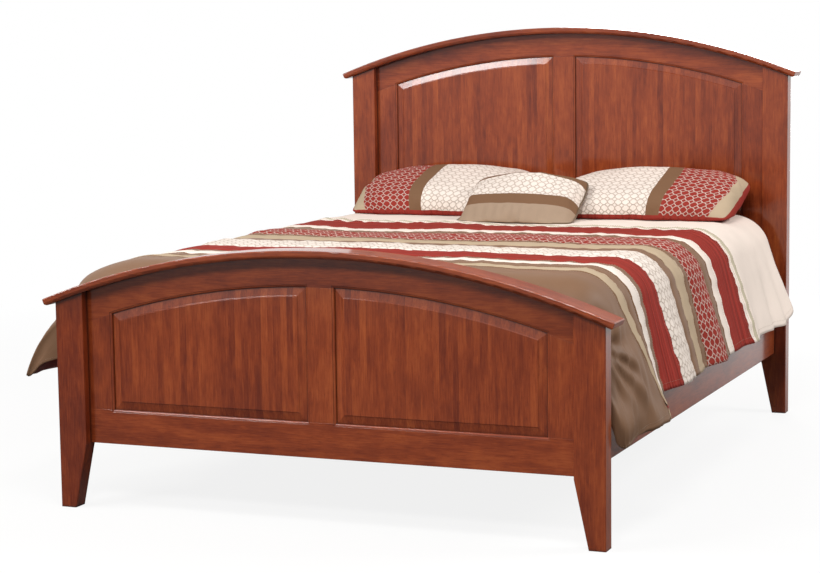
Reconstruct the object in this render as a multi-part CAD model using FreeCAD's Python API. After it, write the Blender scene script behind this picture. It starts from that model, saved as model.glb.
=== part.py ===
import FreeCAD, Part
import os
from math import atan2, cos, pi, sin, sqrt

V = FreeCAD.Vector

# Sizes are in millimetres. X runs across the bed, Y from the footboard to the headboard, Z up.
# The origin is on the floor under the middle of the bed.

# Posts
post_w = 90.0
post_d = 51.0
post_foot_w = 49.0  # width of the foot at the floor
post_taper_drop = 3.0  # the inner face tapers from this far below the bottom rail
post_round = 3.0

# Arched cap boards
cap_radius = 2376.0  # top face of the cap
cap_t = 22.0
cap_lip = 20.0  # overhang in front of and behind the posts
cap_end_lip = 32.0  # overhang past the posts' outer faces
cap_low_round = 9.0
cap_top_round = 3.0
headboard_peak = 1384.0  # top of the cap at the middle
footboard_peak = 783.0

# Frames between the posts
frame_back_room = 2.0  # from the frame to the posts' back face
frame_t = 21.0
top_rail_w = 85.0
stile_w = 82.0
mullion_w = 88.0
bottom_rail_w = 101.0
bottom_rail_z = 193.0
sticking_w = 7.0  # moulded edge round each opening
sticking_step = 1.2
sticking_land = 1.2  # flat left beside the rounded edge
groove_w = 7.0
groove_depth = 9.0
groove_lip = 0.5  # between the rounded edge and the groove
tenon_wall = 6.5  # wood left between a tenon and the rail fittings
tenon_t = 9.0
tenon_shoulder = 16.0
dowel_d = 10.0
dowel_in_rail = 30.0
dowel_in_cap = 12.0
dowel_place_shares = (-0.88, -0.44, 0.0, 0.44, 0.88)  # of half the top rail

# Raised panels
panel_play = 1.0  # room for the wood to move in the groove
panel_bevel_w = 24.0
panel_field_front = 0.5  # behind the frame's front face
panel_shoulder = 2.0  # fall of the eased edge round the raised field
panel_shoulder_w = 2.5

# Side rails and their knock-down fittings
rail_h = 178.0
rail_t = 25.0
rail_z = 215.0
rail_set_in = 41.0  # from the posts' outer faces
rail_round = 3.0
fitting_w = 16.0
fitting_h = 127.0
fitting_t = 3.0
hook_t = 5.0
hook_neck_h = 18.0
hook_drop = 8.0
hook_reach = 9.0  # past the slotted plate's face
hook_nose = 5.5
hook_place_shares = (-0.28, 0.28)  # of the fitting's height, from its middle
slot_play = 1.0

# Slats and their supports
slat_count = 12
slat_w = 70.0
slat_t = 19.0
slat_end_gap = 2.0
slat_first_gap = 55.0  # from the footboard posts to the first slat
slat_round = 3.0
cleat_w = 25.0
cleat_h = 25.0
cleat_lift = 1.0  # above the rail's lower edge
cleat_end_gap = 24.0
beam_w = 38.0
beam_h = 64.0

# Centre leg and its levelling foot
leg_w = 45.0
leg_round = 4.0
leg_gap = 22.0  # from the floor to the leg
leg_bolt_d = 8.0
leg_bolt_in_beam = 40.0
leg_bolt_in_leg = 45.0
insert_d = 12.0
insert_l = 16.0
stem_d = 8.0
stem_l = 46.0
stem_play = 0.3
stem_run = 16.0  # drilled room above the stem
pad_d = 32.0
pad_h = 10.0
pad_edge = 2.5

# Box spring and mattress
mattress_w = 1524.0
mattress_l = 2032.0
mattress_side_room = 10.0  # to each side rail
mattress_head_room = 24.5  # to the headboard posts
mattress_foot_room = 6.5  # between the comforter over its foot end and the footboard cap
mattress_t = 254.0
mattress_corner = 70.0
mattress_top_round = 90.0
mattress_low_round = 25.0
box_spring_t = 178.0
box_spring_round = 18.0
bed_layer_gap = 0.3

# Comforter
comforter_t = 22.0
drape_degree = 2  # of the curves through the cross sections
comforter_gap = 4.0  # above the mattress
comforter_shoulder_room = 28.0  # added to the mattress edge's round
comforter_shoulder_in = 12.0  # its round starts this far inside the mattress's
comforter_head_short = 55.0  # from the mattress's head end
comforter_foot_lift = 8.0  # the hidden foot end hangs to this far above the side rails
comforter_foot_out = 28.0  # past the mattress's sides, as are the next ones
comforter_hem_out = 113.0
comforter_flare_out = 193.0  # hem of the hanging foot corners
comforter_drop = 363.3  # from its top to the hem of its sides
comforter_flare_drop = 428.3
comforter_fold = 15.0  # how far the folds swing in and out at the hem
comforter_head_rise = 45.0
comforter_foot_drop = 46.0  # the top rounds down behind the footboard

# Pillows
pillow_gap = 0.3
sham_l = 660.0
sham_d = 405.0
sham_loft = 166.0
sham_tilt = 16.0  # degrees
sham_back_gap = 3.0  # from the headboard's posts
sham_apart = 108.0
shams_x = 14.0  # the middle between them
accent_l = 425.0
accent_d = 300.0
accent_loft = 138.0
accent_tilt = 34.0  # degrees
accent_x = 2.0
accent_gap = 4.0  # to the shams that it leans on
pillow_seam = 9.0  # thickness at the end seams
pillow_ear = 12.0  # how far the sides draw in between the corners
pillow_sink = 14.0  # how far a pillow is pressed flat where it lies
pillow_crown_share = 0.56  # of the loft above the seam

overrun = 5.0  # how far cutting shapes run past what they cut
same = 0.05  # places nearer than this count as one place

# Places that follow from the sizes above
half_bed = mattress_w / 2
rail_inner = half_bed + mattress_side_room
rail_outer = rail_inner + rail_t
rail_mid_x = (rail_outer + rail_inner) / 2
half_span = rail_outer + rail_set_in  # outer faces of the posts
inner_x = half_span - post_w
foot_room = cap_lip + mattress_foot_room + comforter_t + comforter_gap
rail_length = foot_room + mattress_l + mattress_head_room
half_length = (rail_length + 2 * post_d + 2 * cap_lip) / 2
foot_front = cap_lip - half_length
foot_back = foot_front + post_d
head_front = foot_back + rail_length
bed_foot = foot_back + foot_room
bed_head = head_front - mattress_head_room
cap_under = cap_radius - cap_t
open_radius = cap_under - top_rail_w
open_outer = inner_x - stile_w
open_inner = mullion_w / 2
open_low = bottom_rail_z + bottom_rail_w
post_taper_z = bottom_rail_z - post_taper_drop
frame_set_back = post_d - frame_t - frame_back_room
sticking_round = sticking_w - sticking_land
groove_front = sticking_step + sticking_round + groove_lip
tenon_length = rail_mid_x - fitting_w / 2 - tenon_wall - inner_x
fitting_z = rail_z + rail_h / 2
slat_low = rail_z + cleat_lift + cleat_h
slat_top = slat_low + slat_t
slat_pitch = (rail_length - 2 * slat_first_gap - slat_w) / (slat_count - 1)
beam_low = slat_low - beam_h
beam_start = foot_back + slat_first_gap
beam_end = head_front - slat_first_gap
leg_y = (beam_start + beam_end) / 2
box_spring_top = slat_top + box_spring_t
mattress_low = box_spring_top + bed_layer_gap
mattress_top = mattress_low + mattress_t
comforter_top = mattress_top + comforter_gap + comforter_t
comforter_shoulder = mattress_top_round + comforter_shoulder_room + comforter_t
comforter_flat = half_bed - mattress_top_round - comforter_shoulder_in
comforter_head_y = bed_head - comforter_head_short
comforter_foot_y = bed_foot - comforter_gap - comforter_t
comforter_hem_x = half_bed + comforter_hem_out
comforter_flare_x = half_bed + comforter_flare_out
comforter_hem_z = comforter_top - comforter_drop
comforter_flare_z = comforter_top - comforter_flare_drop
headboard = (headboard_peak, head_front)
footboard = (footboard_peak, foot_front)


def box(x0, x1, y0, y1, z0, z1):
    """A block between two corners."""
    return Part.makeBox(x1 - x0, y1 - y0, z1 - z0, V(x0, y0, z0))


def mirrored(shape):
    """The same piece on the bed's other side."""
    return shape.mirror(V(0, 0, 0), V(1, 0, 0))


def line(a, b):
    return Part.LineSegment(a, b).toShape()


def arc(a, b, c):
    return Part.Arc(a, b, c).toShape()


def polygon(points):
    """A closed outline of straight edges."""
    return Part.Wire([line(a, b) for a, b in zip(points, points[1:] + points[:1])])


def slab(wire, depth):
    """A flat outline given a thickness towards the headboard."""
    return Part.Face(wire).extrude(V(0, depth, 0))


def arch_point(board, radius, x, y):
    """A point on an arc about the centre that a board's cap is bent around."""
    peak = board[0]
    return V(x, y, peak - cap_radius + sqrt(radius * radius - x * x))


def arch(board, radius, x0, x1, y):
    return arc(*[arch_point(board, radius, x, y) for x in (x0, (x0 + x1) / 2, x1)])


def fillet_where(shape, radius, wanted):
    """Rounds the edges that satisfy a test."""
    edges = [e for e in shape.Edges if len(e.Vertexes) == 2 and wanted(e)]
    return shape.makeFillet(radius, edges)


def ends(edge):
    return [v.Point for v in edge.Vertexes]


def level(edge, axis, value):
    """True where both ends of an edge have one coordinate at a value."""
    return all(abs(p[axis] - value) < same for p in ends(edge))


# Posts


def tenon_heights(board):
    """Lower and upper ends of the top and bottom rail tenons."""
    low = arch_point(board, open_radius, inner_x, 0).z
    high = arch_point(board, cap_under, inner_x + tenon_length, 0).z
    return (
        (low + tenon_shoulder, high - tenon_shoulder),
        (bottom_rail_z + tenon_shoulder, open_low - tenon_shoulder),
    )


def rail_tenons(board, heights):
    """A rail's two tenons, between the posts' inner faces and the bottoms of the mortises."""
    y = board[1] + frame_set_back + (frame_t - tenon_t) / 2
    right = box(inner_x, inner_x + tenon_length, y, y + tenon_t, *heights)
    return [right, mirrored(right)]


def cap_dowels(board):
    """Upright dowels from the top rail and the posts into the cap."""
    y = board[1] + frame_set_back + frame_t / 2
    half = inner_x + post_w / 2
    dowels = []
    for share in dowel_place_shares:
        foot = arch_point(board, cap_under, share * inner_x, y) - V(0, 0, dowel_in_rail)
        dowels.append(Part.makeCylinder(dowel_d / 2, dowel_in_rail + dowel_in_cap, foot))
    for x in (-half, half):
        foot = arch_point(board, cap_under, x, y) - V(0, 0, dowel_in_rail)
        dowels.append(Part.makeCylinder(dowel_d / 2, dowel_in_rail + dowel_in_cap, foot))
    return dowels


def post(board):
    """The right post: tapered foot, arched top, mortises, and a let-in slotted plate."""
    y = board[1]
    wire = Part.Wire([
        line(V(half_span, y, 0), arch_point(board, cap_under, half_span, y)),
        arch(board, cap_under, half_span, inner_x, y),
        line(arch_point(board, cap_under, inner_x, y), V(inner_x, y, post_taper_z)),
        line(V(inner_x, y, post_taper_z), V(half_span - post_foot_w, y, 0)),
        line(V(half_span - post_foot_w, y, 0), V(half_span, y, 0)),
    ])
    shape = slab(wire, post_d)
    upright = lambda e: e.BoundBox.YLength < same and e.BoundBox.ZLength > post_w
    shape = fillet_where(shape, post_round, upright)
    for heights in tenon_heights(board):
        shape = shape.cut(rail_tenons(board, heights)[0])
    for dowel in cap_dowels(board):
        shape = shape.cut(dowel)
    return shape.cut(slot_pocket(board))


# Frames and panels


def opening(board, inset, y):
    """Outline of the right-hand opening of a frame, drawn in by an inset on every side."""
    x0, x1 = open_inner + inset, open_outer - inset
    low = open_low + inset
    radius = open_radius - inset
    return Part.Wire([
        line(V(x0, y, low), V(x1, y, low)),
        line(V(x1, y, low), arch_point(board, radius, x1, y)),
        arch(board, radius, x1, x0, y),
        line(arch_point(board, radius, x0, y), V(x0, y, low)),
    ])


def frame_plate(board):
    """Both rails, stiles and mullion as one plate with moulded and grooved openings."""
    y = board[1] + frame_set_back
    outline = Part.Wire([
        line(V(-inner_x, y, bottom_rail_z), V(inner_x, y, bottom_rail_z)),
        line(V(inner_x, y, bottom_rail_z), arch_point(board, cap_under, inner_x, y)),
        arch(board, cap_under, inner_x, -inner_x, y),
        line(arch_point(board, cap_under, -inner_x, y), V(-inner_x, y, bottom_rail_z)),
    ])
    plate = slab(outline, frame_t)
    hole = slab(opening(board, 0, y - overrun), frame_t + 2 * overrun)
    step = slab(opening(board, -sticking_w, y - overrun), overrun + sticking_step)
    for cutter in (hole, mirrored(hole), step, mirrored(step)):
        plate = plate.cut(cutter)
    edge_y = y + sticking_step
    at_hole = lambda e: level(e, 1, edge_y) and on_hole(board, e)
    plate = fillet_where(plate, sticking_round, at_hole)
    groove = slab(opening(board, -groove_depth, y + groove_front), groove_w)
    return plate.cut(groove).cut(mirrored(groove))


def on_hole(board, edge):
    """True for the edges of a frame's openings themselves, not of the step round them."""
    middle = edge.valueAt((edge.FirstParameter + edge.LastParameter) / 2)
    x = abs(middle.x)
    radius = sqrt(x * x + (middle.z - board[0] + cap_radius) ** 2)
    places = ((x, open_inner), (x, open_outer), (middle.z, open_low), (radius, open_radius))
    inside = open_inner - same < x < open_outer + same
    return inside and any(abs(a - b) < same for a, b in places)


def under_arch(board):
    """Everything below the arched lower edge of the top rail."""
    y = board[1] - overrun
    reach = inner_x + overrun
    return slab(
        Part.Wire([
            line(V(-reach, y, 0), V(reach, y, 0)),
            line(V(reach, y, 0), arch_point(board, open_radius, reach, y)),
            arch(board, open_radius, reach, -reach, y),
            line(arch_point(board, open_radius, -reach, y), V(-reach, y, 0)),
        ]),
        post_d + 2 * overrun,
    )


def stub_tenons(board, x0, x1):
    """Tongues at the two ends of an upright, which fill the rails' grooves."""
    y = board[1] + frame_set_back + groove_front
    low = box(x0, x1, y, y + groove_w, open_low - groove_depth, open_low)
    radius = open_radius + groove_depth
    high = slab(
        Part.Wire([
            arch(board, open_radius, x0, x1, y),
            line(arch_point(board, open_radius, x1, y), arch_point(board, radius, x1, y)),
            arch(board, radius, x1, x0, y),
            line(arch_point(board, radius, x0, y), arch_point(board, open_radius, x0, y)),
        ]),
        groove_w,
    )
    return low, high


def frame_pieces(board):
    """Top rail, bottom rail, stiles and mullion, with the joints between them."""
    plate = frame_plate(board)
    below = under_arch(board)
    top = plate.cut(below)
    rest = plate.common(below)
    y = board[1]
    upper = box(-half_span, half_span, y - overrun, y + post_d + overrun, open_low, board[0])
    bottom = rest.cut(upper)
    left, middle, right = sorted(rest.common(upper).Solids, key=lambda s: s.CenterOfMass.x)
    reach = open_outer + groove_depth + panel_play
    half = open_inner - groove_depth - panel_play
    pieces = []
    for upright, x0, x1 in ((left, -inner_x, -reach), (middle, -half, half), (right, reach, inner_x)):
        low, high = stub_tenons(board, x0, x1)
        pieces.append(upright.fuse([low, high]).removeSplitter())
        top = top.cut(high)
        bottom = bottom.cut(low)
    top_heights, bottom_heights = tenon_heights(board)
    top = top.fuse(rail_tenons(board, top_heights)).removeSplitter()
    bottom = bottom.fuse(rail_tenons(board, bottom_heights)).removeSplitter()
    for dowel in cap_dowels(board):
        top = top.cut(dowel)
    return {
        "top_rail": top,
        "bottom_rail": bottom,
        "stile_left": pieces[0],
        "mullion": pieces[1],
        "stile_right": pieces[2],
    }


def panel(board):
    """The right raised panel: tongue, mitred bevel under an arch, eased shoulder and field."""
    y = board[1] + frame_set_back
    tongue_front = y + groove_front
    field_front = y + panel_field_front
    bevel_top = field_front + panel_shoulder
    tongue = slab(opening(board, panel_play - groove_depth, tongue_front), groove_w)
    field_inset = panel_bevel_w + panel_shoulder_w
    outlines = [
        opening(board, panel_play, tongue_front),
        opening(board, panel_bevel_w, bevel_top),
        opening(board, field_inset, field_front),
    ]
    slopes = [Part.makeLoft(list(pair), True, True) for pair in zip(outlines, outlines[1:])]
    return tongue.fuse(slopes).removeSplitter()


def cap(board):
    """An arched board over the posts, with square ends and a rounded lower edge."""
    y = board[1] - cap_lip
    depth = post_d + 2 * cap_lip
    x_top = half_span + cap_end_lip
    x_low = x_top * cap_under / cap_radius
    wire = Part.Wire([
        arch(board, cap_radius, -x_top, x_top, y),
        line(arch_point(board, cap_radius, x_top, y), arch_point(board, cap_under, x_low, y)),
        arch(board, cap_under, x_low, -x_low, y),
        line(arch_point(board, cap_under, -x_low, y), arch_point(board, cap_radius, -x_top, y)),
    ])
    shape = slab(wire, depth)
    centre_z = board[0] - cap_radius
    reach = lambda p: sqrt(p.x * p.x + (p.z - centre_z) ** 2)
    on = lambda radius: (lambda e: all(abs(reach(p) - radius) < same for p in ends(e)))
    shape = fillet_where(shape, cap_low_round, on(cap_under))
    shape = fillet_where(shape, cap_top_round, on(cap_radius))
    for dowel in cap_dowels(board):
        shape = shape.cut(dowel)
    return shape


# Side rails and fittings


def fitting_heights():
    """Lower edges of the hooks' necks."""
    return [fitting_z + share * fitting_h - hook_neck_h / 2 for share in hook_place_shares]


def fitting_plate(y0, y1):
    return box(
        rail_mid_x - fitting_w / 2, rail_mid_x + fitting_w / 2, y0, y1,
        fitting_z - fitting_h / 2, fitting_z + fitting_h / 2,
    )


def hook_plate(face, way):
    """A plate let into a rail's end at face, with two hooks that point along way, which is 1 or -1."""
    plate = fitting_plate(*sorted((face, face - way * fitting_t)))
    tip = fitting_t + hook_reach
    nose = tip - hook_nose
    x = rail_mid_x - hook_t / 2
    for z in fitting_heights():
        at = lambda reach, up: V(x, face + way * reach, z + up)
        hook = polygon([
            at(-fitting_t, 0), at(nose, 0), at(nose, -hook_drop),
            at(tip, -hook_drop), at(tip, hook_neck_h), at(-fitting_t, hook_neck_h),
        ])
        plate = plate.fuse(Part.Face(hook).extrude(V(hook_t, 0, 0)))
    return plate.removeSplitter()


def slots(y0, y1):
    """Slots tall enough for the hooks to enter before they drop."""
    half = hook_t / 2 + slot_play
    tall = hook_neck_h + hook_drop + slot_play
    return [box(rail_mid_x - half, rail_mid_x + half, y0, y1, z, z + tall) for z in fitting_heights()]


def rail_face(board):
    """Where the side rails meet a board's posts, and the way from the rail into the post."""
    return (foot_back, -1) if board is footboard else (head_front, 1)


def slot_plate(board):
    """A slotted plate let into a post, which the hooks drop behind."""
    face, way = rail_face(board)
    near, far = sorted((face, face + way * fitting_t))
    plate = fitting_plate(near, far)
    for slot in slots(near - overrun, far + overrun):
        plate = plate.cut(slot)
    return plate


def slot_pocket(board):
    """Recess for the slotted plate with a pocket behind it for the hooks."""
    face, way = rail_face(board)
    pocket = fitting_plate(*sorted((face - way * overrun, face + way * fitting_t)))
    deep = fitting_t + hook_reach + slot_play
    low, high = sorted((face, face + way * deep))
    half = hook_t / 2 + slot_play
    room = box(
        rail_mid_x - half, rail_mid_x + half, low, high,
        fitting_z - fitting_h / 2 + fitting_t, fitting_z + fitting_h / 2 - fitting_t,
    )
    return pocket.fuse(room)


def side_rail():
    """The right side rail with recesses for its hook plates."""
    rail = box(rail_inner, rail_outer, foot_back, head_front, rail_z, rail_z + rail_h)
    along = lambda e: e.BoundBox.YLength > rail_h
    rail = fillet_where(rail, rail_round, along)
    for face, way in ((foot_back, 1), (head_front, -1)):
        rail = rail.cut(fitting_plate(*sorted((face - way * overrun, face + way * fitting_t))))
    return rail


def hook_plates():
    right = [hook_plate(foot_back, -1), hook_plate(head_front, 1)]
    return right + [mirrored(s) for s in right]


def slot_plates():
    right = [slot_plate(footboard), slot_plate(headboard)]
    return right + [mirrored(s) for s in right]


# Slats, beam and centre leg


def cleat():
    """A ledge for the slats along the inside of the right rail."""
    y0, y1 = foot_back + cleat_end_gap, head_front - cleat_end_gap
    return box(rail_inner - cleat_w, rail_inner, y0, y1, slat_low - cleat_h, slat_low)


def slat(number):
    """One cross slat on the cleats and the centre beam, counted from the footboard."""
    y = beam_start + number * slat_pitch
    half = rail_inner - slat_end_gap
    board = box(-half, half, y, y + slat_w, slat_low, slat_top)
    return fillet_where(board, slat_round, lambda e: e.BoundBox.XLength > half)


def leg_bolt():
    low = beam_low - leg_bolt_in_leg
    return Part.makeCylinder(leg_bolt_d / 2, leg_bolt_in_beam + leg_bolt_in_leg, V(0, leg_y, low))


def centre_beam():
    beam = box(-beam_w / 2, beam_w / 2, beam_start, beam_end, beam_low, slat_low)
    return beam.cut(leg_bolt())


def centre_leg():
    """A square leg under the beam, drilled for its bolt, its threaded insert and the foot's stem."""
    half = leg_w / 2
    leg = box(-half, half, leg_y - half, leg_y + half, leg_gap, beam_low)
    leg = fillet_where(leg, leg_round, lambda e: e.BoundBox.ZLength > leg_w)
    leg = leg.cut(leg_bolt())
    leg = leg.cut(Part.makeCylinder(insert_d / 2, insert_l, V(0, leg_y, leg_gap)))
    bore = stem_d / 2 + stem_play
    return leg.cut(Part.makeCylinder(bore, pad_h + stem_l + stem_run - leg_gap, V(0, leg_y, leg_gap)))


def leg_insert():
    """A threaded sleeve in the leg's end."""
    sleeve = Part.makeCylinder(insert_d / 2, insert_l, V(0, leg_y, leg_gap))
    return sleeve.cut(Part.makeCylinder(stem_d / 2 + stem_play, insert_l, V(0, leg_y, leg_gap)))


def levelling_foot():
    """A round pad on a screw stem."""
    pad = Part.makeCylinder(pad_d / 2, pad_h, V(0, leg_y, 0))
    pad = pad.makeFillet(pad_edge, [e for e in pad.Edges if e.BoundBox.ZMin > pad_h - same])
    return pad.fuse(Part.makeCylinder(stem_d / 2, stem_l, V(0, leg_y, pad_h))).removeSplitter()


# Mattress and box spring


def rounded_block(low, high, corner, top_round, low_round):
    """A block of the mattress's width and length with rounded corners and edges."""
    shape = box(-half_bed, half_bed, bed_foot, bed_head, low, high)
    shape = fillet_where(shape, corner, lambda e: e.BoundBox.ZLength > high - low - same)
    shape = shape.makeFillet(low_round, [e for e in shape.Edges if e.BoundBox.ZMax < low + same])
    return shape.makeFillet(top_round, [e for e in shape.Edges if e.BoundBox.ZMin > high - same])


def box_spring():
    return rounded_block(slat_top, box_spring_top, mattress_corner, box_spring_round, box_spring_round)


def mattress():
    corner = mattress_corner + mattress_top_round
    return rounded_block(mattress_low, mattress_top, corner, mattress_top_round, mattress_low_round)


# Comforter


def comforter_section(y, top, hem_x, hem_z):
    """Closed cross section of the comforter: flat top, round shoulders and splayed hanging sides."""

    def half(thin):
        """Right-hand points of the outer face, or of the inner one a thickness further in."""
        radius = comforter_shoulder - thin
        centre = V(comforter_flat, y, top - comforter_shoulder)
        across, down = hem_x - centre.x, centre.z - hem_z
        hang = sqrt(across ** 2 + down ** 2 - comforter_shoulder ** 2)
        splay = atan2(across, down) - atan2(comforter_shoulder, hang)
        at = lambda angle: centre + V(radius * cos(angle), 0, radius * sin(angle))
        hem = V(hem_x - thin * cos(splay), y, hem_z - thin * sin(splay))
        return [hem, at(splay), at((splay + pi / 2) / 2), at(pi / 2)]

    flip = lambda p: V(-p.x, p.y, p.z)
    outer, inner = half(0), half(comforter_t)
    edges = [line(outer[0], outer[1]), arc(*outer[1:])]
    edges += [line(outer[3], flip(outer[3])), arc(flip(outer[3]), flip(outer[2]), flip(outer[1]))]
    edges += [line(flip(outer[1]), flip(outer[0])), line(flip(outer[0]), flip(inner[0]))]
    edges += [line(flip(inner[0]), flip(inner[1])), arc(flip(inner[1]), flip(inner[2]), flip(inner[3]))]
    edges += [line(flip(inner[3]), inner[3]), arc(inner[3], inner[2], inner[1])]
    edges += [line(inner[1], inner[0]), line(inner[0], outer[0])]
    return Part.Wire(edges)


def comforter_sections():
    """Sections from head to foot: folds along the sides, then the flared foot corners."""
    length = comforter_head_y - comforter_foot_y
    fold_shares = (0.0, 0.08, 0.17, 0.26, 0.35, 0.44, 0.53, 0.62, 0.71, 0.79)
    sections = []
    for number, share in enumerate(fold_shares):
        swing = comforter_fold * (1 if number % 2 else -1) * min(1, number)
        rise = comforter_head_rise * max(0, 1 - share / fold_shares[2])
        y = comforter_head_y - share * length
        sections.append((y, comforter_top, comforter_hem_x + swing, comforter_hem_z + rise))
    # shares of the length, of the flare outwards and down, and of the foot drop
    corner_shares = (
        (0.87, 0.45, 0.4, 0.0),
        (0.94, 1.0, 1.0, 0.04),
        (0.98, 0.95, 0.85, 0.3),
        (1.0, 0.7, 0.55, 1.0),
    )
    for along, out, down, drop in corner_shares:
        sections.append((
            comforter_head_y - along * length,
            comforter_top - drop * comforter_foot_drop,
            comforter_hem_x + out * (comforter_flare_x - comforter_hem_x),
            comforter_hem_z - down * (comforter_hem_z - comforter_flare_z),
        ))
    return sections


def comforter():
    """The draped cover, with its end hanging between the mattress and the footboard."""
    sections = [comforter_section(*s) for s in comforter_sections()]
    drape = Part.makeLoft(sections, True, False, False, drape_degree)
    half = half_bed + comforter_foot_out
    end = box(
        -half, half, comforter_foot_y, comforter_foot_y + comforter_t,
        rail_z + rail_h + comforter_foot_lift, comforter_top - comforter_foot_drop - comforter_t / 2,
    )
    return drape.fuse(end).removeSplitter()


# Pillows


def pillow(length, depth, loft):
    """A stuffed cushion about its middle: thin end seams, drawn-in sides and a crowned top."""
    # share of half the length, and share of the loft there
    swell_shares = ((1.0, 0.0), (0.94, 0.36), (0.8, 0.7), (0.5, 0.94), (0.0, 1.0))
    places = [(-s, swell) for s, swell in swell_shares] + [(s, swell) for s, swell in swell_shares[-2::-1]]
    sections = []
    for place, swell in places:
        x = place * length / 2
        half = depth / 2 - pillow_ear * (1 - place * place)
        thick = pillow_seam + swell * (loft - pillow_seam)
        front, back = V(x, -half, 0), V(x, half, 0)
        over = V(x, 0, thick * pillow_crown_share)
        under = V(x, 0, thick * (pillow_crown_share - 1))
        sections.append(Part.Wire([arc(front, over, back), arc(back, under, front)]))
    cushion = Part.makeLoft(sections, True, False)
    # the end seams draw in between the corners as well
    radius = (depth * depth / 4 + pillow_ear * pillow_ear) / (2 * pillow_ear)
    for side in (-1, 1):
        centre = V(side * (length / 2 + radius - pillow_ear), 0, -loft)
        cushion = cushion.cut(Part.makeCylinder(radius, 2 * loft, centre))
    return cushion


def laid_pillow(length, depth, loft, tilt, x, back):
    """A pillow tipped up against what is behind it, and flat where it lies on the comforter."""
    cushion = pillow(length, depth, loft)
    cushion.rotate(V(0, 0, 0), V(1, 0, 0), tilt)
    span = cushion.optimalBoundingBox()
    cushion.translate(V(x, back - span.YMax, comforter_top + pillow_gap - pillow_sink - span.ZMin))
    seat = comforter_top + pillow_gap
    under = box(x - length, x + length, back - 2 * depth, back + depth, seat - loft, seat)
    return cushion.cut(under)


def sham(side):
    """The left or right sham, side -1 or 1, tipped up against the headboard."""
    x = shams_x + side * (sham_l + sham_apart) / 2
    return laid_pillow(sham_l, sham_d, sham_loft, sham_tilt, x, head_front - sham_back_gap)


def accent_pillow(shams):
    """A pillow in front of the shams, pushed back until it leans on them."""
    front = min(s.optimalBoundingBox().YMin for s in shams)
    cushion = laid_pillow(accent_l, accent_d, accent_loft, accent_tilt, accent_x, front)
    room = accent_d
    while room > same:
        room = min(cushion.distToShape(s)[0] for s in shams) - accent_gap
        cushion.translate(V(0, room, 0))
    return cushion


# All pieces


def board_pieces(board, name):
    right_post = post(board)
    right_panel = panel(board)
    pieces = {
        "post_right": right_post,
        "post_left": mirrored(right_post),
        "cap": cap(board),
        "panel_right": right_panel,
        "panel_left": mirrored(right_panel),
    }
    pieces.update(frame_pieces(board))
    return {f"{name}_{key}": shape for key, shape in pieces.items()}


def all_pieces():
    pieces = board_pieces(headboard, "headboard")
    pieces.update(board_pieces(footboard, "footboard"))
    pieces["cap_dowels"] = Part.makeCompound(cap_dowels(headboard) + cap_dowels(footboard))
    rail = side_rail()
    ledge = cleat()
    pieces.update({
        "side_rail_right": rail,
        "side_rail_left": mirrored(rail),
        "slat_cleat_right": ledge,
        "slat_cleat_left": mirrored(ledge),
        "rail_hook_plates": Part.makeCompound(hook_plates()),
        "post_slot_plates": Part.makeCompound(slot_plates()),
        "centre_beam": centre_beam(),
        "centre_leg": centre_leg(),
        "leg_bolt": leg_bolt(),
        "leg_insert": leg_insert(),
        "levelling_foot": levelling_foot(),
        "box_spring": box_spring(),
        "mattress": mattress(),
        "comforter": comforter(),
    })
    for number in range(slat_count):
        pieces[f"slat_{number + 1:02d}"] = slat(number)
    shams = [sham(-1), sham(1)]
    pieces["sham_left"], pieces["sham_right"] = shams
    pieces["accent_pillow"] = accent_pillow(shams)
    return pieces


os.makedirs("parts", exist_ok=True)
for node, shape in all_pieces().items():
    shape.exportStep(f"parts/{node}.step")
    print(node, len(shape.Solids), "solid(s),", round(shape.Volume), "mm3, valid", shape.isValid())
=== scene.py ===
from math import cos, pi, radians, sin

import bpy
import numpy as np
from mathutils import Matrix, Vector


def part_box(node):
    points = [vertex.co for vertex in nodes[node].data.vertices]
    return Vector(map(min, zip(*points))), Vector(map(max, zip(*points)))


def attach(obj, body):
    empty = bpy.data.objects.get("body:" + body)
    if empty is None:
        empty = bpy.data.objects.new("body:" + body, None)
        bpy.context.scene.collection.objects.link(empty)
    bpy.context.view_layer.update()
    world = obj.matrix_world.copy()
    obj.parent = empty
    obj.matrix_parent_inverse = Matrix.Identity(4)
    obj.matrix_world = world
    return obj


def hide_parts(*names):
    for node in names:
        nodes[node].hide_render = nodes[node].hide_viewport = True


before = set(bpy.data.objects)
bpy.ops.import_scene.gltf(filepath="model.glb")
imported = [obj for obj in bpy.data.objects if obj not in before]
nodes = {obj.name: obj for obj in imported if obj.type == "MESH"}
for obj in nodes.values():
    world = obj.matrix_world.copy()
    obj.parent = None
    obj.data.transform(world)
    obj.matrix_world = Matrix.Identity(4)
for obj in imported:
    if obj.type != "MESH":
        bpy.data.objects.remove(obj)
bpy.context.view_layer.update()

# Sizes in metres, in the part's own frame: X across the bed, Y to the headboard, Z up
bed_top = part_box("comforter")[1][2]


# Small tools


def tint(text):
    """Linear colour of an sRGB hex value."""
    shares = [int(text[i : i + 2], 16) / 255 for i in (1, 3, 5)]
    return [s / 12.92 if s <= 0.04045 else ((s + 0.055) / 1.055) ** 2.4 for s in shares] + [1.0]


def add(tree, kind, inputs=None, stops=None, out=0, **settings):
    """A new node's output: its settings, its input values or the sockets they come from, and a ramp's
    stops, each a place and a hex colour or a plain value."""
    node = tree.nodes.new(kind)
    for key, value in settings.items():
        setattr(node, key, value)
    for key, value in (inputs or {}).items():
        if isinstance(value, bpy.types.NodeSocket):
            tree.links.new(value, node.inputs[key])
        else:
            node.inputs[key].default_value = value
    for number, (place, colour) in enumerate(stops or ()):
        spots = node.color_ramp.elements
        spot = spots[number] if number < 2 else spots.new(place)
        spot.position = place
        spot.color = tint(colour) if isinstance(colour, str) else colour
    return node.outputs[out] if node.outputs else None


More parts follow.
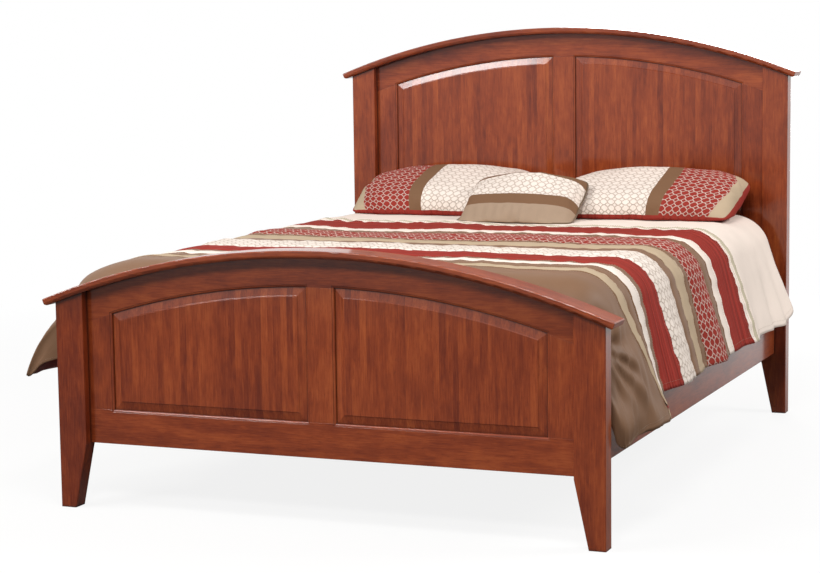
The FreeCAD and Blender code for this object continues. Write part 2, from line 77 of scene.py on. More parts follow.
def surface(name, **values):
    """A new material, its node tree and its Principled shader with plain values set on the shader."""
    material = bpy.data.materials.new(name)
    material.use_nodes = True
    tree = material.node_tree
    shader = tree.nodes["Principled BSDF"]
    for key, value in values.items():
        shader.inputs[key.replace("_", " ")].default_value = value
    return material, tree, shader


def smooth(low, high, value):
    """0 below low, 1 above high and an easy curve between."""
    t = np.clip((value - low) / (high - low), 0, 1)
    return t * t * (3 - 2 * t)


def ripple(a, b, seed, rough=2):
    """A smooth irregular field between about -1 and 1, from crossing waves of a fixed seed."""
    pick = np.random.RandomState(seed)
    total = 0 * (a + b)
    for octave in range(rough):
        for _ in range(5):
            way = pick.uniform(0, 2 * pi)
            pitch = 2 ** octave * pick.uniform(0.6, 1.4)
            phase = pick.uniform(0, 6)
            wave = np.sin(2 * pi * pitch * (a * np.cos(way) + b * np.sin(way)) + phase)
            total = total + wave / 2 ** octave
    return total / 4.5


def new_piece(name, points, faces, material, cut=None):
    """A mesh object at the origin, with smooth faces and its flat cloth places kept in an attribute."""
    mesh = bpy.data.meshes.new(name)
    mesh.from_pydata([tuple(p) for p in points], [], [tuple(f) for f in faces])
    mesh.update()
    mesh.polygons.foreach_set("use_smooth", [True] * len(mesh.polygons))
    if cut is not None:
        place = mesh.attributes.new("cut", "FLOAT_VECTOR", "POINT")
        place.data.foreach_set("vector", np.asarray(cut, dtype=np.float32).ravel())
    mesh.materials.append(material)
    piece = bpy.data.objects.new(name, mesh)
    bpy.context.collection.objects.link(piece)
    return piece


def settle(piece):
    """Turns a piece's modifiers into plain mesh."""
    graph = bpy.context.evaluated_depsgraph_get()
    final = piece.evaluated_get(graph)
    mesh = bpy.data.meshes.new_from_object(final, preserve_all_data_layers=True, depsgraph=graph)
    piece.modifiers.clear()
    piece.data = mesh
    return piece


def dress(node, material):
    """Gives a CAD node one material."""
    nodes[node].data.materials.clear()
    nodes[node].data.materials.append(material)


# Wood

board_width = 0.1  # of the boards glued up into a panel, on average
board_contrast = 0.12
painted_shade_reach = 0.01  # how far the painted shade reaches out from a corner or groove
arris_ease = 0.0018


def stained_cherry(name, turn, board=0.0, shift=0.0, tone=0.0):
    """Cherry, stained red-brown and sprayed with satin lacquer: fine streaks along the grain, a soft
    blotchy stain, and on glued-up panels boards of differing tone, board metres wide on average."""
    material, tree, shader = surface(
        name, Roughness=0.4, IOR=1.5, Specular_IOR_Level=0.1,
        Coat_Weight=0.8, Coat_Roughness=0.12, Coat_IOR=1.5,
    )
    place = add(tree, "ShaderNodeTexCoord", out="Object")
    inputs = {"Vector": place, "Rotation": turn, "Location": (shift, shift, 0)}
    grain = add(tree, "ShaderNodeMapping", inputs)
    # Streak widths across the grain and lengths along it in metres, weight, detail and bend;
    # fibres are drawn coarser than life to show
    layers = (
        ((0.1, 0.5), 0.4, 2, 0.8),
        ((0.034, 0.3), 0.24, 3, 0.7),
        ((0.011, 0.2), 0.16, 3, 0.4),
        ((0.003, 0.05), 0.44, 3, 0.2),
        ((0.05, 0.08), 0.32, 4, 0.5),
    )
    total = 0.5 + tone - sum(weight for _, weight, _, _ in layers) / 2
    if board:
        across = add(tree, "ShaderNodeSeparateXYZ", {0: grain})
        across = add(tree, "ShaderNodeMath", {0: across, 1: 1 / board}, operation="MULTIPLY")
        inputs = {"W": across, "Randomness": 0.7}
        own = add(tree, "ShaderNodeTexVoronoi", inputs, out="Color", voronoi_dimensions="1D")
        level = add(tree, "ShaderNodeSeparateColor", {0: own})
        inputs = {0: level, 1: board_contrast, 2: total - board_contrast / 2}
        total = add(tree, "ShaderNodeMath", inputs, operation="MULTIPLY_ADD")
        # each board's grain comes from another place
        inputs = {0: own, 1: (3, 3, 3), 2: grain}
        grain = add(tree, "ShaderNodeVectorMath", inputs, operation="MULTIPLY_ADD")
    for (wide, long), weight, detail, bend in layers:
        scale = (1 / wide, 1 / wide, 1 / long)
        at = add(tree, "ShaderNodeMapping", {"Vector": grain, "Scale": scale})
        inputs = {"Vector": at, "Scale": 1.0, "Detail": detail, "Roughness": 0.6, "Distortion": bend}
        fibre = add(tree, "ShaderNodeTexNoise", inputs)
        inputs = {0: fibre, 1: weight, 2: total}
        total = add(tree, "ShaderNodeMath", inputs, operation="MULTIPLY_ADD")
    stops = ((0.0, "#35110a"), (1.0, "#bf6830"), (0.34, "#6a2711"), (0.5, "#873919"), (0.67, "#a14d24"))
    colour = add(tree, "ShaderNodeValToRGB", {0: total}, stops)
    at = add(tree, "ShaderNodeMapping", {"Vector": grain, "Scale": (420, 420, 60)})
    fleck = add(tree, "ShaderNodeTexNoise", {"Vector": at, "Scale": 1.0, "Detail": 1.0})
    # painted shade: how enclosed each point is, by ambient occlusion
    corner = add(tree, "ShaderNodeAmbientOcclusion", {"Distance": painted_shade_reach}, samples=8, out="AO")
    # dark gum flecks and pores, then painted shade: ambient occlusion darkens the colour in corners and
    # grooves
    for value, span, dark in (
        (fleck, {1: 0.69, 2: 0.76, 3: 0.0, 4: 0.4}, "#401608"),
        (corner, {1: 0.45, 2: 0.92, 3: 0.88, 4: 0.0}, "#2a0e07"),
    ):
        share = add(tree, "ShaderNodeMapRange", {0: value, **span})
        colour = add(tree, "ShaderNodeMix", {0: share, 6: colour, 7: tint(dark)}, data_type="RGBA", out=2)
    tree.links.new(colour, shader.inputs["Base Color"])
    # sanding and lacquer ease every arris
    eased = add(tree, "ShaderNodeBevel", {"Radius": arris_ease}, samples=6)
    inputs = {"Height": total, "Strength": 0.06, "Distance": 0.001, "Normal": eased}
    bump = add(tree, "ShaderNodeBump", inputs)
    tree.links.new(bump, shader.inputs["Normal"])
    tree.links.new(eased, shader.inputs["Coat Normal"])
    return material


def two_toned(name, scale, detail, stops, bend=0.0, **values):
    """A material that wavers between two near tones in a random pattern, scale grains to the metre along
    each axis: the material, its node tree, its shader and the pattern."""
    material, tree, shader = surface(name, **values)
    place = add(tree, "ShaderNodeTexCoord", out="Object")
    at = add(tree, "ShaderNodeMapping", {"Vector": place, "Scale": scale})
    inputs = {"Vector": at, "Scale": 1.0, "Detail": detail, "Distortion": bend}
    pattern = add(tree, "ShaderNodeTexNoise", inputs)
    colour = add(tree, "ShaderNodeValToRGB", {0: pattern}, stops)
    tree.links.new(colour, shader.inputs["Base Color"])
    return material, tree, shader, pattern


def slat_hardwood():
    """Plain sanded hardwood for slats and their supports: pale, open grain, no lacquer."""
    stops = ((0.25, "#a98558"), (0.75, "#d3b78a"))
    material, tree, shader, streak = two_toned(
        "slat_hardwood", (3, 45, 60), 4, stops, bend=0.5, Roughness=0.62, IOR=1.5
    )
    bump = add(tree, "ShaderNodeBump", {"Height": streak, "Strength": 0.2, "Distance": 0.0006})
    tree.links.new(bump, shader.inputs["Normal"])
    return material


def finish_wood():
    """Gives every wooden node its grain along its own length."""
    upright, across, along = (0, 0, 0), (0, pi / 2, 0), (pi / 2, 0, 0)
    # pieces drawn darker or lighter than the rest
    tones = {
        "footboard_post_left": -0.11,
        "footboard_stile_left": -0.04,
        "footboard_mullion": 0.06,
        "headboard_mullion": 0.06,
    }
    plain = slat_hardwood()
    for name in nodes:
        if name.startswith(("headboard_", "footboard_")):
            # each piece takes its grain from its own place
            shift = 0.37 * (len(name) % 7) + (1.3 if name.startswith("head") else 0)
            if "panel" in name:
                wood = stained_cherry("cherry_" + name, upright, board_width, shift)
            elif "post" in name or "stile" in name or "mullion" in name:
                wood = stained_cherry("cherry_" + name, upright, 0.0, shift, tones.get(name, 0.0))
            else:
                wood = stained_cherry("cherry_" + name, across, 0.0, shift)
        elif name.startswith("side_rail"):
            wood = stained_cherry("cherry_" + name, along, 0.0, 0.2)
        elif name.startswith(("slat", "centre", "cap_dowels")):
            wood = plain
        else:
            continue
        dress(name, wood)


# Fittings


def zinc_plate():
    """Zinc-plated steel: pale bright metal with a faint crystal mottle."""
    stops = ((0.3, "#a9abad"), (0.7, "#c9cbcc"))
    material, tree, shader, cells = two_toned("zinc_plated_steel", (160, 160, 160), 3, stops, Metallic=1.0)
    rough = add(tree, "ShaderNodeMapRange", {0: cells, 3: 0.28, 4: 0.42})
    tree.links.new(rough, shader.inputs["Roughness"])
    return material


def brass_sleeve():
    """Turned brass of the threaded insert: warm yellow with fine turning marks."""
    stops = ((0.3, "#b08d4a"), (0.7, "#cfae68"))
    return two_toned("turned_brass", (20, 20, 900), 2, stops, Metallic=1.0, Roughness=0.3)[0]


def moulded_nylon():
    """Moulded nylon of the levelling foot: black, finely textured."""
    stops = ((0.3, "#161616"), (0.7, "#262524"))
    material, tree, shader, grit = two_toned(
        "moulded_nylon", (1500, 1500, 1500), 2, stops, Roughness=0.55, IOR=1.53
    )
    bump = add(tree, "ShaderNodeBump", {"Height": grit, "Strength": 0.3, "Distance": 0.0003})
    tree.links.new(bump, shader.inputs["Normal"])
    return material


def finish_fittings():
    """Materials of the hidden fittings and the levelling foot."""
    zinc = zinc_plate()
    for name in ("rail_hook_plates", "post_slot_plates", "leg_bolt"):
        dress(name, zinc)
    dress("leg_insert", brass_sleeve())
    dress("levelling_foot", moulded_nylon())


# Cloth

brown, red, tan, cream, white, sage = "#795a43", "#90342c", "#b7a288", "#eadbcf", "#e8dbd0", "#bfb49c"

accent_tan = "#a18a75"

# Comforter bands from head to foot: where each starts along the bed, its colour, how far it puffs up,
# and what is sewn on it
comforter_bands = (
    (0.975, cream, 0.0, ""),
    (0.449, sage, 0.002, ""),
    (0.409, cream, 0.002, ""),
    (0.385, red, 0.003, "tucks"),
    (0.181, cream, 0.003, ""),
    (0.113, brown, 0.002, ""),
    (0.055, red, 0.006, "lattice"),
    (-0.120, brown, 0.002, ""),
    (-0.154, tan, 0.003, ""),
    (-0.250, brown, 0.002, ""),
    (-0.310, white, 0.007, "lattice"),
    (-0.469, red, 0.004, "tucks"),
    (-0.598, brown, 0.001, ""),
    (-0.638, white, 0.003, ""),
    (-0.709, brown, 0.002, ""),
    (-0.766, tan, 0.003, ""),
    (-0.828, brown, 0.0, ""),
)

tuck_pitch = 0.015
weave_pitch = 0.0012
sateen_threads = (700, 240, 1)  # to the metre
back_panel_below = -0.06  # in the third place of the flat cloth


def pieced_cloth(name, axis, bands, low, high, scallop=0.0, lattice=0.026, rough=0.75, shine=0.08, back=None):
    """Pieced cotton sateen: bands sewn side by side along one axis of the flat cloth, some with rings of
    thread sewn on or with pin tucks, over a fine weave that is drawn coarser than life to show. A cover's
    back panel, where the cloth's third place is well below nought, is of one plain colour."""
    material, tree, shader = surface(name, Roughness=rough, IOR=1.45, Specular_IOR_Level=shine)
    cut = add(tree, "ShaderNodeAttribute", attribute_name="cut", out="Vector")
    parts = add(tree, "ShaderNodeSeparateXYZ", {0: cut}).node.outputs
    along = parts[axis]
    # seams wander a little, and more by scallop
    wander = add(tree, "ShaderNodeTexNoise", {"Vector": cut, "Scale": 30.0, "Detail": 2.0})
    wander = add(tree, "ShaderNodeMath", {0: wander, 1: 0.5}, operation="SUBTRACT")
    seam = add(tree, "ShaderNodeMath", {0: wander, 1: 0.003 + scallop, 2: along}, operation="MULTIPLY_ADD")
    share = add(tree, "ShaderNodeMapRange", {0: seam, 1: low, 2: high, 3: 0.0, 4: 1.0})
    place = lambda v: min(max((v - low) / (high - low), 0.0), 1.0)
    order = sorted((place(min(a, b)), colour, kind) for (a, b, colour, kind) in bands)
    mask = {"": (0, 0, 0, 1), "lattice": (1, 0, 0, 1), "tucks": (0, 1, 0, 1)}
    plain = add(tree, "ShaderNodeValToRGB", {0: share}, stops=[(p, c) for p, c, _ in order])
    kinds = add(tree, "ShaderNodeValToRGB", {0: share}, stops=[(p, mask[k]) for p, _, k in order])
    for socket in (plain, kinds):
        socket.node.color_ramp.interpolation = "CONSTANT"
    ringed, tucked, _ = add(tree, "ShaderNodeSeparateColor", {0: kinds}).node.outputs
    # rings of thread in two grids, the second half a pitch over from the first
    lines = 0.0
    for over, ring in ((0.0, 0.47), (0.5, 0.3)):
        inputs = {0: cut, 1: (1 / lattice, 1 / lattice, 0), 2: (over, over, 0)}
        at = add(tree, "ShaderNodeVectorMath", inputs, operation="MULTIPLY_ADD")
        at = add(tree, "ShaderNodeVectorMath", {0: at}, operation="FRACTION")
        inputs = {0: at, 1: (0.5, 0.5, 0)}
        far = add(tree, "ShaderNodeVectorMath", inputs, operation="DISTANCE", out="Value")
        off = add(tree, "ShaderNodeMath", {0: wander, 1: 0.12, 2: far}, operation="MULTIPLY_ADD")
        off = add(tree, "ShaderNodeMath", {0: off, 1: ring}, operation="SUBTRACT")
        off = add(tree, "ShaderNodeMath", {0: off}, operation="ABSOLUTE")
        near = add(tree, "ShaderNodeMapRange", {0: off, 1: 0.02, 2: 0.048, 3: 1.0, 4: 0.0})
        lines = add(tree, "ShaderNodeMath", {0: lines, 1: near}, operation="MAXIMUM")
    lines = add(tree, "ShaderNodeMath", {0: lines, 1: ringed}, operation="MULTIPLY")
    # the thread is pale on dark cloth and tan on pale cloth
    value = add(tree, "ShaderNodeSeparateColor", {0: plain}, out=1)
    stops = ((0.3, "#dcc5b8"), (0.5, "#a9937f"))
    thread = add(tree, "ShaderNodeValToRGB", {0: value}, stops)
    amount = add(tree, "ShaderNodeMapRange", {0: value, 1: 0.3, 2: 0.5, 3: 0.8, 4: 0.6})
    amount = add(tree, "ShaderNodeMath", {0: lines, 1: amount}, operation="MULTIPLY")
    mixed = add(tree, "ShaderNodeMix", {0: amount, 6: plain, 7: thread}, data_type="RGBA", out=2)
    if back:
        inputs = {0: parts[2], 1: back_panel_below}
        behind = add(tree, "ShaderNodeMath", inputs, operation="LESS_THAN")
        mixed = add(tree, "ShaderNodeMix", {0: behind, 6: mixed, 7: tint(back)}, data_type="RGBA", out=2)
    # soft uneven dye
    dye_and_tuck_shade = add(tree, "ShaderNodeTexNoise", {"Vector": cut, "Scale": 9.0, "Detail": 4.0})
    dye_and_tuck_shade = add(tree, "ShaderNodeMapRange", {0: dye_and_tuck_shade, 3: 0.9, 4: 1.08})
    # pin tucks, drawn up unevenly, with painted shade: their ridges lighter and their hollows darker in the
    # colour
    drawn = add(tree, "ShaderNodeMath", {0: along, 1: 45.0}, operation="MULTIPLY")
    inputs = {"W": drawn, "Scale": 1.0, "Detail": 1.0}
    drawn = add(tree, "ShaderNodeTexNoise", inputs, noise_dimensions="1D")
    drawn = add(tree, "ShaderNodeMapRange", {0: drawn, 1: 0.3, 2: 0.7, 3: -1.0, 4: 1.0})
    tuck = add(tree, "ShaderNodeMath", {0: along, 1: 2 * pi / tuck_pitch}, operation="MULTIPLY")
    tuck = add(tree, "ShaderNodeMath", {0: tuck}, operation="SINE")
    tuck = add(tree, "ShaderNodeMath", {0: tuck, 1: 0.6, 2: drawn}, operation="MULTIPLY_ADD")
    tuck = add(tree, "ShaderNodeMath", {0: tuck, 1: tucked}, operation="MULTIPLY")
    # the tucks' painted shade is added to the uneven dye
    dye_and_tuck_shade = add(tree, "ShaderNodeMath", {0: tuck, 1: 0.18, 2: dye_and_tuck_shade}, operation="MULTIPLY_ADD")
    inputs = {0: 1.0, 6: mixed, 7: dye_and_tuck_shade}
    mixed = add(tree, "ShaderNodeMix", inputs, out=2, data_type="RGBA", blend_type="MULTIPLY")
    tree.links.new(mixed, shader.inputs["Base Color"])
    # weave, tucks and embroidery as one height in metres
    weave = add(tree, "ShaderNodeMapping", {"Vector": cut, "Scale": sateen_threads})
    weave = add(tree, "ShaderNodeTexNoise", {"Vector": weave, "Scale": 1.0, "Detail": 2.0})
    height = add(tree, "ShaderNodeMath", {0: weave, 1: 0.0003}, operation="MULTIPLY")
    for raised, rise in ((tuck, 0.0016), (lines, 0.0012)):
        inputs = {0: raised, 1: rise, 2: height}
        height = add(tree, "ShaderNodeMath", inputs, operation="MULTIPLY_ADD")
    bump = add(tree, "ShaderNodeBump", {"Height": height, "Strength": 1.0, "Distance": 1.0})
    tree.links.new(bump, shader.inputs["Normal"])
    return material


def plain_cloth(name, dark, light):
    """Plain woven cloth: two near tones in a crossed weave, drawn coarser than life to show."""
    material, tree, shader = surface(name, Roughness=0.85, IOR=1.45, Sheen_Weight=0.15)
    place = add(tree, "ShaderNodeTexCoord", out="Object")
    inputs = {"Vector": place, "Scale": 1 / weave_pitch, "Detail": 2.0}
    weave = add(tree, "ShaderNodeTexNoise", inputs)
    blotch = add(tree, "ShaderNodeTexNoise", {"Vector": place, "Scale": 6.0, "Detail": 3.0})
    both = add(tree, "ShaderNodeMath", {0: weave, 1: blotch}, operation="ADD")
    colour = add(tree, "ShaderNodeValToRGB", {0: both}, stops=((0.7, dark), (1.0, light)))
    tree.links.new(colour, shader.inputs["Base Color"])
    bump = add(tree, "ShaderNodeBump", {"Height": weave, "Strength": 0.5, "Distance": 0.0006})
    tree.links.new(bump, shader.inputs["Normal"])
    return material


def stitch_rows(name, lines, pitch, length, thread, material):
    """Rows of sewing stitches: Geometry Nodes lay a short rounded thread at even steps along each line."""
    points, edges = [], []
    for line in lines:
        edges += [(len(points) + k, len(points) + k + 1) for k in range(len(line) - 1)]
        points += [tuple(p) for p in line]
    mesh = bpy.data.meshes.new(name)
    mesh.from_pydata(points, edges, [])
    piece = bpy.data.objects.new(name, mesh)
    bpy.context.collection.objects.link(piece)
    tree = bpy.data.node_groups.new(name, "GeometryNodeTree")
    face = tree.interface
    face.new_socket("Geometry", in_out="INPUT", socket_type="NodeSocketGeometry")
    sizes = {"Pitch": pitch, "Length": length, "Thread": thread}
    keys = {k: face.new_socket(k, in_out="INPUT", socket_type="NodeSocketFloat").identifier for k in sizes}
    face.new_socket("Geometry", in_out="OUTPUT", socket_type="NodeSocketGeometry")
    given = add(tree, "NodeGroupInput").node.outputs
    rows = add(tree, "GeometryNodeMeshToCurve", {0: given["Geometry"]})
    inputs = {"Curve": rows, "Length": given["Pitch"]}
    rows = add(tree, "GeometryNodeResampleCurve", inputs, mode="LENGTH")
    run = add(tree, "GeometryNodeInputTangent")
    turn = add(tree, "FunctionNodeAlignRotationToVector", {"Vector": run}, axis="Z")
    bead = add(tree, "GeometryNodeMeshUVSphere", {"Segments": 6, "Rings": 3, "Radius": 0.5})
    bead = add(tree, "GeometryNodeSetShadeSmooth", {0: bead})
    inputs = {0: given["Thread"], 1: given["Thread"], 2: given["Length"]}
    size = add(tree, "ShaderNodeCombineXYZ", inputs)
    inputs = {"Points": rows, "Instance": bead, "Rotation": turn, "Scale": size}
    laid = add(tree, "GeometryNodeInstanceOnPoints", inputs)
    laid = add(tree, "GeometryNodeRealizeInstances", {0: laid})
    laid = add(tree, "GeometryNodeSetMaterial", {"Geometry": laid, "Material": material})
    add(tree, "NodeGroupOutput", {0: laid})
    sewn = piece.modifiers.new("stitches", "NODES")
    sewn.node_group = tree
    for label, value in sizes.items():
        sewn[keys[label]] = value
    return settle(piece)


# Comforter: one flat cut, laid point by point over the mattress and its edges

comforter_cut = (2.235, 2.235)  # a common queen comforter, 88 in square
comforter_head = 0.975
comforter_foot = comforter_head - comforter_cut[1]
comforter_thick = 0.018
head_round, foot_round = 0.15, 0.07  # radii of the cut's corners
band_ends = [band[0] for band in comforter_bands[1:]] + [comforter_foot]
row_step, seam_step = 0.0125, 0.005  # of the mesh along the cut, and beside a seam
comforter_columns = 221
rest_gap = 0.0006  # between pieces that lie on each other

# How it lies: metres along the cloth, and degrees from upright
fold_start = (0.66, -0.895)  # half width of the flat top, and where it ends towards the foot
side_shoulder, foot_shoulder = 0.14, 0.131
foot_limit = -1.0295  # the cloth is pressed flat behind the footboard
slip, slip_left_less = 0.06, 0.02  # to the right at the foot
hang_splay = 16
head_splay, left_splay, right_splay = 5, 18, -2  # added to it at the head and the foot corners
drawn_within = 0.7  # the right foot corner's cloth is drawn together in this length
left_spare, left_spare_less, right_spare = 0.485, 0.3, 0.522  # reach past which a foot corner bunches
bunched_share = 0.85
left_longer, left_stands_out = 0.052, 0.078
pinch_place, pinch_wide, pinch_rise = -0.7, 0.05, 0.03  # the right hem, where a white stripe ends on it
left_curl, right_curl = 1.2, 3  # how fast the hem turns under past the reaches below
left_curl_from, right_curl_from = 0.2, 0.24
lap_out, lap_along = 0.026, 0.115  # the right corner laps over the stripes beside it
caught_place, caught_reach, crease_length = -1.08, 0.28, 0.2  # the right corner is caught behind the post
# Soft folds of the hanging sides: height, spacing, and phase that differs and is shared between the sides
soft_folds = ((0.009, 0.41, 0.8, 0.5), (0.005, 0.23, 2, 0))


def hem_half(v):
    """Half width of the cut along its length, with corners rounded more at the head."""
    half = comforter_cut[0] / 2
    for corner, past in ((head_round, v - comforter_head), (foot_round, comforter_foot - v)):
        past = np.clip(past + corner, 0, corner)
        half = half - corner + np.sqrt(np.maximum(corner ** 2 - past ** 2, 0))
    return half


def fold_out(v, reach, angle, side, left, corner):
    """How far the hanging cloth stands out in folds and creases."""
    # soft folds that grow towards the hem, with tighter ones near the head
    soft = sum(h * np.sin(2 * pi * v / step + differ * side + same) for h, step, differ, same in soft_folds)
    soft = soft + 0.009 * smooth(0.6, 0.85, v) * np.sin(2 * pi * v / 0.115 + 1.2)
    out = smooth(0.1, 0.45, reach) * (1 - corner) * soft * (1 - left)
    # looser ones in the plain cloth at the foot corners
    loose = 0.007 * ripple(v * 5 + reach * 2, reach * 2.5, 31)
    loose = loose + 0.005 * ripple(v * 13 + reach * 6, reach * 5, 33)
    loose = loose * smooth(-0.78, -0.92, v) * smooth(0.1, 0.3, reach)
    out = out + loose * np.where(side < 0, 0.6, 1.2)
    # creases fan out from where the right corner is caught
    on, off = v - caught_place, reach - caught_reach
    away = np.hypot(on, off)
    crease = np.sin(9 * np.arctan2(off, on) + 2 * ripple(on * 4, off * 4, 35)) * smooth(0.02, 0.1, away)
    crease = crease * np.exp(-((away / crease_length) ** 2)) * smooth(0.08, 0.2, reach)
    out = out + 0.008 * crease * (side > 0)
    # pleats round the corners
    pleat = smooth(0.08, 0.4, reach) * np.sin(pi * np.clip(angle / (pi / 2), 0, 1))
    return out + 0.014 * pleat * np.sin(5.2 * angle + 1.1 * side)


def drape(u, v):
    """Where a point of the flat cut lies on the bed: flat on top, round a shoulder, then hanging splayed."""
    # it has slipped to the right at the foot, where its left corner stands out and its right one hangs lower
    u = u + (slip - slip_left_less * smooth(0.0, -0.5, u)) * smooth(-0.6, -0.86, v)
    side = np.sign(u)
    flat_half, foot_edge = fold_start
    over = np.maximum(np.abs(u) - flat_half, 0)
    down = np.maximum(foot_edge - v, 0)
    drawn = smooth(0.05, 0.3, over) * (side > 0)
    down = down + (drawn_within * (1 - np.exp(-down / drawn_within)) - down) * drawn
    # how far past the flat top, and whether over the side (angle 0) or the foot (a right angle)
    reach = np.hypot(over, down)
    angle = np.arctan2(down, np.maximum(over, 1e-9))
    corner = smooth(0.0, 1.0, angle / (pi / 2))
    flare = smooth(-0.5, -0.93, v)
    left = np.where(side < 0, flare, 0) * (1 - corner)
    spare = np.where(side < 0, left_spare - left_spare_less * smooth(0.38, 0.9, angle), right_spare)
    reach = reach - bunched_share * np.maximum(reach - spare, 0) * (1 - corner)
    reach = reach + left_longer * left * smooth(0.6, 0.1, angle) * smooth(0.2, 0.4, reach)
    pinch = np.exp(-((v - pinch_place) / pinch_wide) ** 2) * (side > 0)
    reach = reach - pinch_rise * pinch * smooth(0.2, 0.45, reach)
    # round the shoulder, then straight down at its splay, with a hem that turns under at the foot corners
    shoulder = side_shoulder + (foot_shoulder - side_shoulder) * corner
    splay = hang_splay + head_splay * smooth(0.75, 0.97, v)
    splay = splay + np.where(side < 0, left_splay, right_splay) * flare
    splay = radians(1) * splay * (1 - smooth(0.35, 0.95, angle / (pi / 2)))
    arc = shoulder * (pi / 2 - splay)
    bend = np.minimum(reach, arc) / shoulder
    hang = np.maximum(reach - arc, 0)
    curl = left_curl * left * np.maximum(hang - left_curl_from, 0) ** 2
    beside_post = smooth(0.05, 0.4, angle) * (side > 0) * (1 - corner)
    curl = curl + right_curl * beside_post * np.maximum(hang - right_curl_from, 0) ** 2
    out = shoulder * np.sin(bend) + hang * np.sin(splay) - curl * np.cos(splay)
    fall = shoulder * (1 - np.cos(bend)) + hang * np.cos(splay) + curl * np.sin(splay)
    out = out + left_stands_out * left * smooth(0.0, 0.15, reach)
    out = out + fold_out(v, reach, angle, side, left, corner)
    # the lap is wider towards the hem
    lap = smooth(-0.675, -0.85, v) * np.clip((reach - 0.17) / 0.31, 0, 1) * (side > 0)
    out = out + lap_out * lap
    x = side * (np.minimum(np.abs(u), flat_half) + out * np.cos(angle))
    y = np.maximum(v, foot_edge) - out * np.sin(angle) + lap_along * lap * smooth(-1.2, -0.84, v)
    # the footboard presses the foot flat, apart from small waves on the left, and past it on the right
    push = np.maximum(foot_limit - y, 0)
    wave = 0.009 * (1 + np.sin(13 * angle + 7 * reach)) * smooth(0.0, 0.05, push)
    y = y + push + wave * np.where(side < 0, 1 - corner, 0)
    x = x + 0.8 * push * smooth(0.7, 0.8, x)
    # the top rolls gently
    roll = 0.005 * ripple(u * 1.6, v * 2.2, 3) * (1 - smooth(0.0, 0.2, reach)) * smooth(0.66, 0.4, v)
    return np.stack([x, y, bed_top - fall + roll], axis=-1)


def comforter_rows():
    """Places along the cut, closer together at the seams."""
    rows = []
    for (start, *_), stop in zip(comforter_bands, band_ends):
        count = max(2, round((start - stop - 2 * seam_step) / row_step))
        rows += [start] + list(np.linspace(start - seam_step, stop + seam_step, count + 1))
    return np.array(rows + [comforter_foot])


def band_puff(u, v):
    """How far each band stands up between its seams, with puckers along them."""
    seam_deep, seam_wide = 0.004, 0.004
    pucker_high, pucker_wide = 0.0018, 0.03
    high = np.zeros_like(v)
    for (start, _, rise, kind), stop in zip(comforter_bands, band_ends):
        share = np.clip((start - v) / (start - stop), 0, 1)
        inside = (v <= start) & (v > stop)
        swell = rise * (1 - (2 * share - 1) ** 4)
        if kind == "lattice":
            swell = swell * (1 + 0.5 * ripple(u * 15, v * 15, 5, 1))
        high = np.where(inside, swell, high)
        if rise and start < comforter_head:
            high = high - seam_deep * np.exp(-((v - start) / seam_wide) ** 2)
            near = np.exp(-((v - start) / pucker_wide) ** 2)
            pucker = ripple(u * 13, v * 3, 11, 1) + ripple(u * 26, v * 4, 12, 1)
            high = high + pucker_high * near * pucker
    return high + 0.0012 * ripple(u * 5, v * 5, 8, 3)


def comforter():
    """The draped cover: pieced top, plain lining and a rolled rim."""
    rows = comforter_rows()
    columns = np.linspace(-1, 1, comforter_columns)
    v, t = np.meshgrid(rows, columns, indexing="ij")
    u = t * hem_half(v)
    place = drape(u, v)
    normal = np.cross(np.gradient(place, axis=0), np.gradient(place, axis=1))
    normal /= np.maximum(np.linalg.norm(normal, axis=-1, keepdims=True), 1e-12)
    # normals point up on the flat top
    if normal[20, comforter_columns // 2, 2] < 0:
        normal = -normal
    place = place + normal * band_puff(u, v)[..., None]
    high, wide = u.shape
    at = np.arange(high * wide).reshape(high, wide)
    faces = np.stack([at[:-1, :-1], at[1:, :-1], at[1:, 1:], at[:-1, 1:]], axis=-1).reshape(-1, 4)
    spans = zip(comforter_bands, band_ends)
    bands = [(start, stop, colour, kind) for (start, colour, _, kind), stop in spans]
    sewn = dict(axis=1, bands=bands, low=comforter_foot, high=comforter_head, scallop=0.01, lattice=0.028)
    cloth = pieced_cloth("pieced_cotton", **sewn)
    satin = pieced_cloth("pieced_satin", **sewn, rough=0.5, shine=0.25)
    lining = plain_cloth("lining_cotton", "#742823", "#84302a")
    cut = np.stack([u, v, 0 * u], axis=-1).reshape(-1, 3)
    piece = new_piece("comforter_cover", place.reshape(-1, 3), faces, cloth, cut)
    for material in (lining, satin, lining):
        piece.data.materials.append(material)
    # the brown bands are satin
    middle = (rows[:-1] + rows[1:]) / 2
    shiny = [any(stop < m < start and colour == brown for start, stop, colour, _ in bands) for m in middle]
    piece.data.polygons.foreach_set("material_index", np.repeat(np.where(shiny, 2, 0), wide - 1))
    # the wadding thins out to the hem
    fill = piece.vertex_groups.new(name="fill")
    inside = np.minimum(hem_half(v) - np.abs(u), np.minimum(comforter_head - v, v - comforter_foot)).ravel()
    for number, share in enumerate(smooth(0.0, 0.03, inside)):
        fill.add([number], float(share), "REPLACE")
    wall = piece.modifiers.new("wall", "SOLIDIFY")
    wall.vertex_group = "fill"
    wall.thickness_vertex_group = 0.4
    wall.thickness = comforter_thick
    wall.offset = -1.0
    wall.material_offset = 1
    wall.material_offset_rim = 0
    settle(piece)
    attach(piece, "bed")
    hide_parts("comforter")
    # stitches along the seams and two columns in from the side hems
    sewn_at = place + rest_gap * normal
    seams = [int(np.argmin(np.abs(rows - band[0] + seam_step))) for band in comforter_bands[1:]]
    lines = [sewn_at[k][2:-2] for k in seams] + [sewn_at[:, k][2:-2] for k in (2, wide - 3)]
    cotton = plain_cloth("sewing_thread", "#8f7b68", "#a5917d")
    sizes = dict(pitch=0.008, length=0.005, thread=0.0009)
    thread = stitch_rows("comforter_stitches", lines, **sizes, material=cotton)
    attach(thread, "bed")


# Pillows

back_panel = -0.2  # third place of the flat cloth on a back panel that shows at the front


